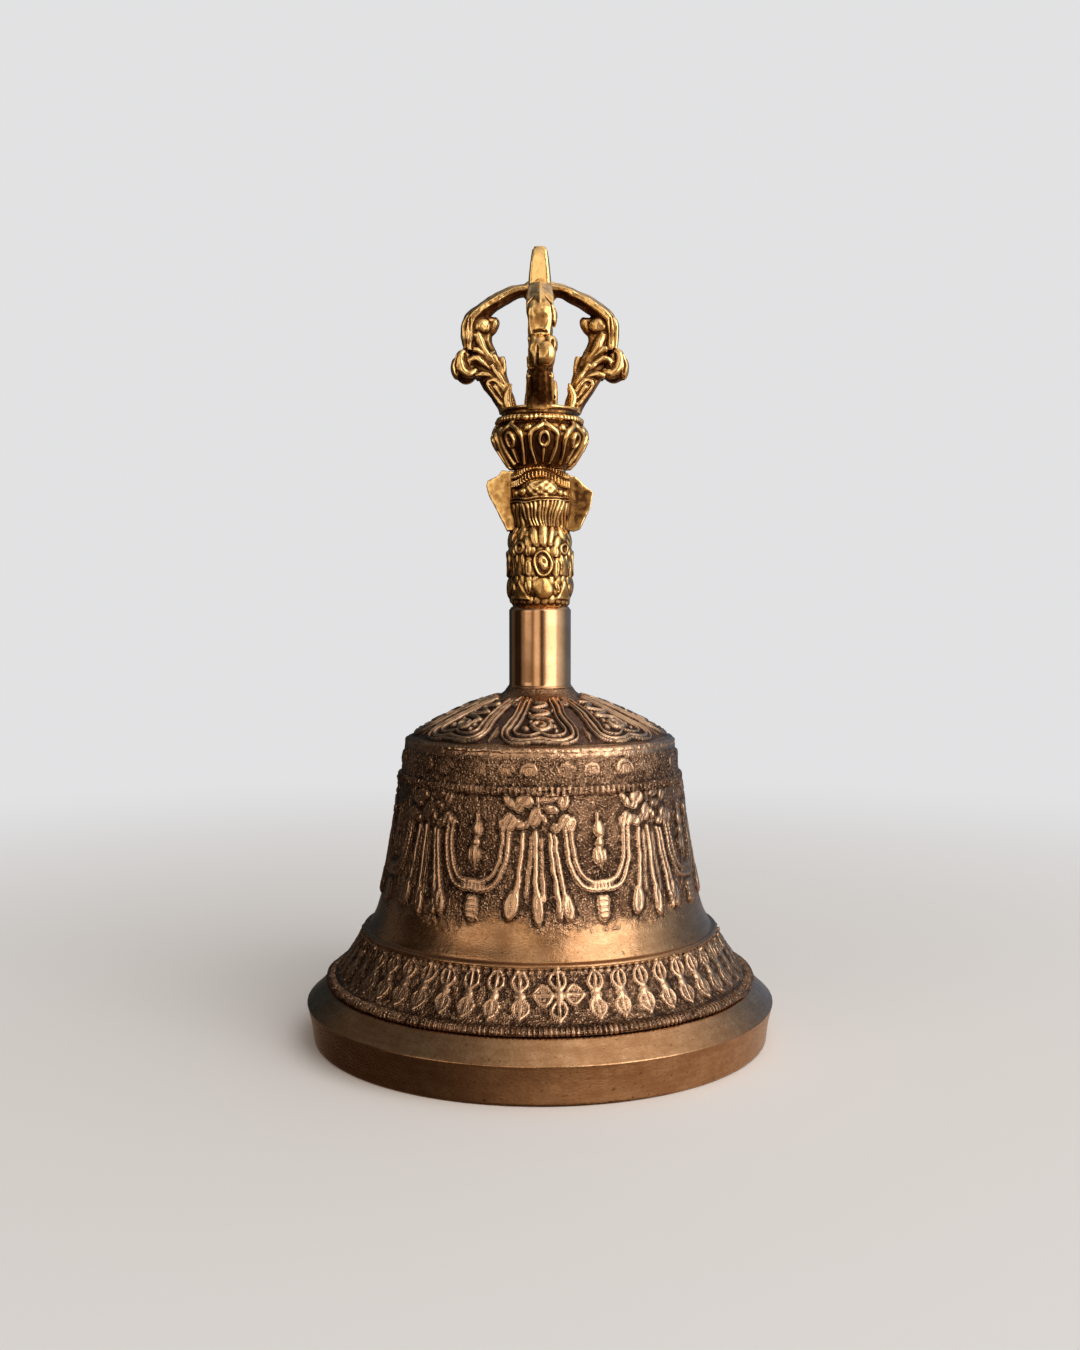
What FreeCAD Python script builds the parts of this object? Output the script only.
"""Tibetan hand bell: a cast bronze bell, a turned neck sleeve, a cast brass half-vajra handle, and a clapper on a link.

Millimetres, +Z up. The origin is the centre of the lip's flat foot, and -Y is the front.
One eye bolt holds the stack: it screws up into the handle through the sleeve and the bell's crown, a washer
and a nut clamp it from inside, and its eye carries the link and the clapper.
"""
import FreeCAD
import Part
import math
import os
from FreeCAD import Vector

# ---- Driving dimensions -------------------------------------------------------------------------------------
LIP_R = 47.0            # sharp outer edge of the lip
FOOT_R = 45.7           # outer edge of the flat foot
FOOT_INNER_R = 41.4     # inner edge of the flat foot
LIP_Z = 7.4             # height of the lip's sharp edge
LIP_SLOPE_R = 42.9      # where the lip's turned slope ends under the bead ring
LIP_SLOPE_Z = 11.2
RING_BUMP = 0.45        # how far the plain rings stand out of the wall
SHOULDER_R = 27.1
SHOULDER_Z = 59.4
CROWN_Z = 69.7          # flat seat for the neck sleeve
CROWN_SEAT_R = 6.7
CROWN_INNER_Z = 64.4    # flat seat for the washer, inside
CROWN_INNER_R = 7.4

SLEEVE_R = 6.25
SLEEVE_TOP_Z = 86.0
SLEEVE_CHAMFER = 0.35

CUP_BASE_Z = 113.4      # where the lotus cup stands on the column
CUP_TOP_Z = 125.5
CUP_SEAT_R = 5.2
TIP_Z = 158.0

MEET_Z = 151.0          # top of the joint where the outer prongs run into the centre prong
PRONG_HALF_WIDTH = 2.3  # tangential half thickness of an outer prong
PRONG_SEAT_R = 2.0      # half width of the centre prong, where the outer prongs meet it

BOLT_R = 2.5            # eye bolt shank
BORE_R = 2.6            # clearance bore through the sleeve and the crown
BOLT_TOP_Z = 98.0
WASHER_R = 5.6
WASHER_T = 1.0
NUT_FLATS = 8.0
NUT_H = 4.0

EYE_R = 2.7             # eye bolt's eye: centre line radius
EYE_WIRE_R = 1.0
LINK_R = 3.0            # link: centre line radius
LINK_WIRE_R = 0.7
STEM_EYE_R = 2.2        # clapper's eye: centre line radius
STEM_EYE_WIRE_R = 0.9
LINK_GAP = 0.1          # play where one wire hangs in another
STEM_R = 1.3
STEM_FOOT_Z = 4.2
BOB_TOP_Z = 18.6
BOB_BOTTOM_Z = 5.0
BOB_R = 6.2

# ---- Heights that follow from the stack ---------------------------------------------------------------------
WASHER_Z = CROWN_INNER_Z - WASHER_T
NUT_Z = WASHER_Z - NUT_H
EYE_Z = NUT_Z - 0.8 - EYE_R - EYE_WIRE_R
LINK_PIVOT_Z = EYE_Z - EYE_R
LINK_Z = LINK_PIVOT_Z + EYE_WIRE_R + LINK_WIRE_R + LINK_GAP - LINK_R
STEM_PIVOT_Z = LINK_Z - LINK_R
STEM_EYE_Z = STEM_PIVOT_Z + LINK_WIRE_R + STEM_EYE_WIRE_R + LINK_GAP - STEM_EYE_R

Z_AXIS = Vector(0, 0, 1)
Y_AXIS = Vector(0, 1, 0)
ORIGIN = Vector(0, 0, 0)


# ---- Helpers ------------------------------------------------------------------------------------------------
def at(radius, height):
    """A point of a turned profile, in the XZ plane."""
    return Vector(radius, 0, height)


def line(start, end):
    return Part.LineSegment(start, end).toShape()


def arc(start, middle, end):
    return Part.Arc(start, middle, end).toShape()


def spline(points):
    """One smooth edge through the points."""
    curve = Part.BSplineCurve()
    curve.interpolate(points)
    return curve.toShape()


def outline(*corners):
    """Straight edges joining the corners in order."""
    return [line(a, b) for a, b in zip(corners, corners[1:])]


def face_of(edges):
    return Part.Face(Part.Wire(Part.__sortEdges__(edges)))


def turned(edges):
    """A full turn of a closed profile about the Z axis."""
    return face_of(edges).revolve(ORIGIN, Z_AXIS, 360)


def ring(radius, wire_radius, height, axis):
    """A wire ring centred on the Z axis, with its hole along axis."""
    return Part.makeTorus(radius, wire_radius, Vector(0, 0, height), axis)


def solid_of(shape):
    """The single solid inside a boolean's result."""
    shape = shape.removeSplitter()
    if len(shape.Solids) != 1:
        raise ValueError(f"expected one solid and got {len(shape.Solids)}")
    return shape.Solids[0]


# ---- Bell ---------------------------------------------------------------------------------------------------
def bell_outer_edges():
    """Lip, bead ring, flare, ridge, waist, bead line, shoulder and dome, from the foot up to the crown seat."""
    foot_chamfer = 0.3
    foot = at(FOOT_R - foot_chamfer, 0)
    side_start = at(FOOT_R, foot_chamfer)
    lip = at(LIP_R, LIP_Z)
    slope_end = at(LIP_SLOPE_R, LIP_SLOPE_Z)
    ring_end = at(41.3, 12.6)
    ridge_start, ridge_end = at(35.45, 21.1), at(34.55, 22.4)
    line_start, line_end = at(28.25, 51.3), at(28.0, 53.1)
    shoulder_start, shoulder_end = at(SHOULDER_R + 0.05, SHOULDER_Z - 0.6), at(SHOULDER_R - 0.7, SHOULDER_Z + 0.35)
    return [
        line(foot, side_start),
        arc(side_start, at(46.15, 3.8), lip),
        line(lip, slope_end),
        arc(slope_end, at(42.1 + RING_BUMP, 11.9 + RING_BUMP), ring_end),
        spline([ring_end, at(40.0, 14.0), at(38.4, 16.2), at(36.9, 18.5), ridge_start]),
        arc(ridge_start, at(35.0 + RING_BUMP, 21.75 + RING_BUMP / 2), ridge_end),
        spline([ridge_end, at(33.2, 25.0), at(32.1, 28.4), at(31.4, 32.0), at(30.6, 36.0), at(29.8, 40.5),
                at(29.0, 45.5), line_start]),
        arc(line_start, at(28.15 + RING_BUMP, 52.2), line_end),
        line(line_end, shoulder_start),
        arc(shoulder_start, at(SHOULDER_R - 0.15, SHOULDER_Z + 0.05), shoulder_end),
        spline([shoulder_end, at(23.2, 61.8), at(19.0, 63.9), at(14.0, 66.1), at(9.6, 67.7), at(7.5, 68.7),
                at(CROWN_SEAT_R, CROWN_Z)]),
    ]


def bell_inner_edges():
    """From the foot's inner edge up the wall to the washer seat."""
    foot = at(FOOT_INNER_R, 0)
    dome_start = at(24.6, 57.2)
    dome_end = at(CROWN_INNER_R, CROWN_INNER_Z)
    return [
        spline([foot, at(40.6, 3.0), at(39.2, 7.0), at(37.5, 11.0), at(35.3, 15.5), at(32.9, 20.5), at(30.7, 25.5),
                at(29.2, 30.5), at(28.1, 36.0), at(27.1, 42.0), at(26.0, 49.5), dome_start]),
        spline([dome_start, at(21.5, 59.5), at(16.5, 61.7), at(11.0, 63.6), dome_end]),
    ]


def bell_body():
    """The cast bell: one solid from the lip to the crown, bored for the eye bolt."""
    edges = bell_outer_edges() + bell_inner_edges()
    edges += [
        line(at(FOOT_INNER_R, 0), at(FOOT_R - 0.3, 0)),
        line(at(CROWN_SEAT_R, CROWN_Z), at(BORE_R, CROWN_Z)),
        line(at(BORE_R, CROWN_Z), at(BORE_R, CROWN_INNER_Z)),
        line(at(BORE_R, CROWN_INNER_Z), at(CROWN_INNER_R, CROWN_INNER_Z)),
    ]
    return turned(edges)


# ---- Neck ---------------------------------------------------------------------------------------------------
def neck_sleeve():
    """The turned tube between the crown and the handle."""
    c = SLEEVE_CHAMFER
    return turned(outline(
        at(BORE_R, CROWN_Z), at(SLEEVE_R - c, CROWN_Z), at(SLEEVE_R, CROWN_Z + c),
        at(SLEEVE_R, SLEEVE_TOP_Z - c), at(SLEEVE_R - c, SLEEVE_TOP_Z), at(BORE_R, SLEEVE_TOP_Z),
        at(BORE_R, CROWN_Z),
    ))


# ---- Handle -------------------------------------------------------------------------------------------------
def crown_leaf(side):
    """One flat side leaf of the head's crown, standing out along X."""
    half_thickness = 1.2
    points = [(4.0, 101.2), (6.6, 101.0), (8.0, 102.6), (10.2, 107.0), (10.7, 109.2), (10.2, 110.9), (8.3, 112.7),
              (6.4, 113.2), (4.0, 112.4), (4.0, 101.2)]
    corners = [Vector(side * x, -half_thickness, z) for x, z in points]
    return face_of(outline(*corners)).extrude(Vector(0, 2 * half_thickness, 0))


def handle_column():
    """The grip: a lotus band below, and the head with its hair band and crown leaves above, tapped for the bolt."""
    foot = at(5.7, SLEEVE_TOP_Z)
    band_end = at(6.0, 101.4)
    head_end = at(5.9, 111.4)
    top = at(CUP_SEAT_R, CUP_BASE_Z)
    body = turned([
        line(at(0, SLEEVE_TOP_Z), foot),
        spline([foot, at(6.3, 88.8), at(6.7, 93.0), at(6.7, 97.0), band_end]),
        spline([band_end, at(5.9, 103.0), at(6.3, 106.0), at(6.4, 108.5), head_end]),
        line(head_end, top),
        line(top, at(0, CUP_BASE_Z)),
        line(at(0, CUP_BASE_Z), at(0, SLEEVE_TOP_Z)),
    ])
    tapped_hole = Part.makeCylinder(BOLT_R, BOLT_TOP_Z - SLEEVE_TOP_Z + 0.5, at(0, SLEEVE_TOP_Z))
    return solid_of(body.fuse([crown_leaf(1), crown_leaf(-1)]).cut(tapped_hole))


def lotus_cup():
    """The lotus that the prongs rise from."""
    foot = at(CUP_SEAT_R, CUP_BASE_Z)
    waist = at(7.2, 114.2)
    rim = at(8.2, 124.2)
    rim_top = at(8.2, CUP_TOP_Z - 0.3)
    seat = at(7.9, CUP_TOP_Z)
    return turned([
        line(at(0, CUP_BASE_Z), foot),
        line(foot, waist),
        spline([waist, at(8.9, 116.6), at(9.9, 118.9), at(9.6, 121.4), at(8.9, 123.0), rim]),
        line(rim, rim_top),
        line(rim_top, seat),
        line(seat, at(0, CUP_TOP_Z)),
        line(at(0, CUP_TOP_Z), at(0, CUP_BASE_Z)),
    ])


def square_wire(half, height, corner):
    """A square with cut corners, for the centre prong's sections."""
    h, c = half, half - corner
    points = [Vector(x, y, height) for x, y in (
        (h, -c), (h, c), (c, h), (-c, h), (-h, c), (-h, -c), (-c, -h), (c, -h), (h, -c))]
    return Part.makePolygon(points)


def centre_prong():
    """The straight four-sided prong on the axis, up to the blunt tip."""
    shaft = Part.makeLoft([square_wire(2.0, CUP_TOP_Z, 0.5), square_wire(2.0, MEET_Z, 0.5)], True, True)
    tip = Part.makeLoft([square_wire(2.0, MEET_Z, 0.5), square_wire(1.7, TIP_Z - 1.0, 0.5),
                         square_wire(1.1, TIP_Z, 0.4)], True, True)
    return solid_of(shaft.fuse(tip))


def outer_prong(turn):
    """One curved prong: a makara's head with a curled snout, and the blade that bends in to the centre prong."""
    root_in, root_out = (4.7, CUP_TOP_Z), (8.0, CUP_TOP_Z)
    outside = [root_out, (9.8, 127.6), (11.7, 130.9), (13.6, 131.4)]
    snout = [(13.6, 131.4), (16.6, 131.5), (17.7, 134.3), (16.4, 136.9), (15.1, 137.4)]
    blade_back = [(15.1, 137.4), (15.4, 140.0), (15.4, 142.6), (13.9, 145.0), (10.3, 147.4), (6.0, 149.4),
                  (2.0, 150.8)]
    blade_front = [(2.0, 147.8), (5.5, 147.3), (8.5, 145.2), (9.9, 142.0), (10.1, 138.8), (9.0, 135.9)]
    throat = [(9.0, 135.9), (7.0, 135.7), (6.2, 131.5), (5.5, 128.0), root_in]
    edges = [spline([at(*p) for p in part]) for part in (outside, snout, blade_back, blade_front, throat)]
    edges += [line(at(*blade_back[-1]), at(*blade_front[0])), line(at(*root_in), at(*root_out))]
    plate = face_of(edges)
    plate.translate(Vector(0, -PRONG_HALF_WIDTH, 0))
    blade = plate.extrude(Vector(0, 2 * PRONG_HALF_WIDTH, 0))
    # Neighbouring prongs meet on the diagonals, so each keeps to its own quarter round the centre prong.
    reach = 30.0
    quarter = face_of(outline(
        Vector(PRONG_SEAT_R, -PRONG_SEAT_R, 0), Vector(reach, -reach, 0), Vector(reach, reach, 0),
        Vector(PRONG_SEAT_R, PRONG_SEAT_R, 0), Vector(PRONG_SEAT_R, -PRONG_SEAT_R, 0),
    ))
    wedge = quarter.extrude(Vector(0, 0, 2 * TIP_Z))
    prong = solid_of(blade.common(wedge))
    prong.rotate(ORIGIN, Z_AXIS, turn)
    return prong


# ---- Fixing -------------------------------------------------------------------------------------------------
def eye_bolt():
    """The tie bolt with the eye that the clapper hangs from."""
    eye = ring(EYE_R, EYE_WIRE_R, EYE_Z, Y_AXIS)
    neck_z = EYE_Z + EYE_R
    shank = Part.makeCylinder(BOLT_R, BOLT_TOP_Z - neck_z - 1.6, at(0, neck_z + 1.6))
    neck = Part.makeCone(1.2, BOLT_R, 1.6 + 0.4, at(0, neck_z - 0.4))
    return solid_of(shank.fuse([neck, eye]))


def crown_washer():
    plate = Part.makeCylinder(WASHER_R, WASHER_T, at(0, WASHER_Z))
    return plate.cut(Part.makeCylinder(BORE_R, WASHER_T, at(0, WASHER_Z))).Solids[0]


def crown_nut():
    """Hexagon nut with its corners chamfered."""
    corner_r = NUT_FLATS / math.sqrt(3)
    corners = [Vector(corner_r * math.cos(math.radians(60 * i)), corner_r * math.sin(math.radians(60 * i)), NUT_Z)
               for i in range(7)]
    hexagon = Part.Face(Part.makePolygon(corners)).extrude(Vector(0, 0, NUT_H))
    chamfer_r = NUT_FLATS / 2 * 1.02
    rise = (corner_r + 0.2 - chamfer_r) * math.tan(math.radians(30))
    skin = turned(outline(
        at(0, NUT_Z), at(chamfer_r, NUT_Z), at(corner_r + 0.2, NUT_Z + rise),
        at(corner_r + 0.2, NUT_Z + NUT_H - rise), at(chamfer_r, NUT_Z + NUT_H), at(0, NUT_Z + NUT_H),
        at(0, NUT_Z),
    ))
    return solid_of(hexagon.common(skin).cut(Part.makeCylinder(BOLT_R, NUT_H, at(0, NUT_Z))))


# ---- Clapper ------------------------------------------------------------------------------------------------
def clapper_link():
    """The closed wire link between the bolt's eye and the clapper's eye."""
    return ring(LINK_R, LINK_WIRE_R, LINK_Z, Vector(1, 0, 0))


def clapper_stem():
    """Iron rod with an eye at the top and a peened end below the bob."""
    eye = ring(STEM_EYE_R, STEM_EYE_WIRE_R, STEM_EYE_Z, Y_AXIS)
    rod_top = STEM_EYE_Z - STEM_EYE_R
    rod = Part.makeCylinder(STEM_R, rod_top - BOB_BOTTOM_Z, at(0, BOB_BOTTOM_Z))
    head_h = BOB_BOTTOM_Z - STEM_FOOT_Z
    peened = Part.makeCone(STEM_R, 1.7 * STEM_R, head_h, at(0, STEM_FOOT_Z))
    return solid_of(rod.fuse([eye, peened]))


def clapper_bob():
    """The striking weight: a pear with a collar, bored for the rod."""
    top, bottom = at(2.4, BOB_TOP_Z), at(3.2, BOB_BOTTOM_Z)
    return turned([
        line(at(STEM_R, BOB_BOTTOM_Z), bottom),
        spline([bottom, at(5.4, 6.6), at(BOB_R, 9.6), at(5.2, 13.2), at(3.1, 16.2), top]),
        line(top, at(STEM_R, BOB_TOP_Z)),
        line(at(STEM_R, BOB_TOP_Z), at(STEM_R, BOB_BOTTOM_Z)),
    ])


# ---- Output -------------------------------------------------------------------------------------------------
def all_parts():
    parts = {
        "bell_body": bell_body(),
        "neck_sleeve": neck_sleeve(),
        "handle_column": handle_column(),
        "lotus_cup": lotus_cup(),
        "centre_prong": centre_prong(),
        "eye_bolt": eye_bolt(),
        "crown_washer": crown_washer(),
        "crown_nut": crown_nut(),
        "clapper_link": clapper_link(),
        "clapper_stem": clapper_stem(),
        "clapper_bob": clapper_bob(),
    }
    for name, turn in (("right", 0), ("back", 90), ("left", 180), ("front", 270)):
        parts[f"outer_prong_{name}"] = outer_prong(turn)
    return parts


def main():
    os.makedirs("parts", exist_ok=True)
    for name, shape in all_parts().items():
        if not shape.isValid():
            raise ValueError(f"{name} isn't a valid shape")
        shape.exportStep(f"parts/{name}.step")
        print(f"{name}: {shape.Volume:.1f} mm3")
    print(f"link pivot z {LINK_PIVOT_Z:.2f}, clapper pivot z {STEM_PIVOT_Z:.2f}")


main()
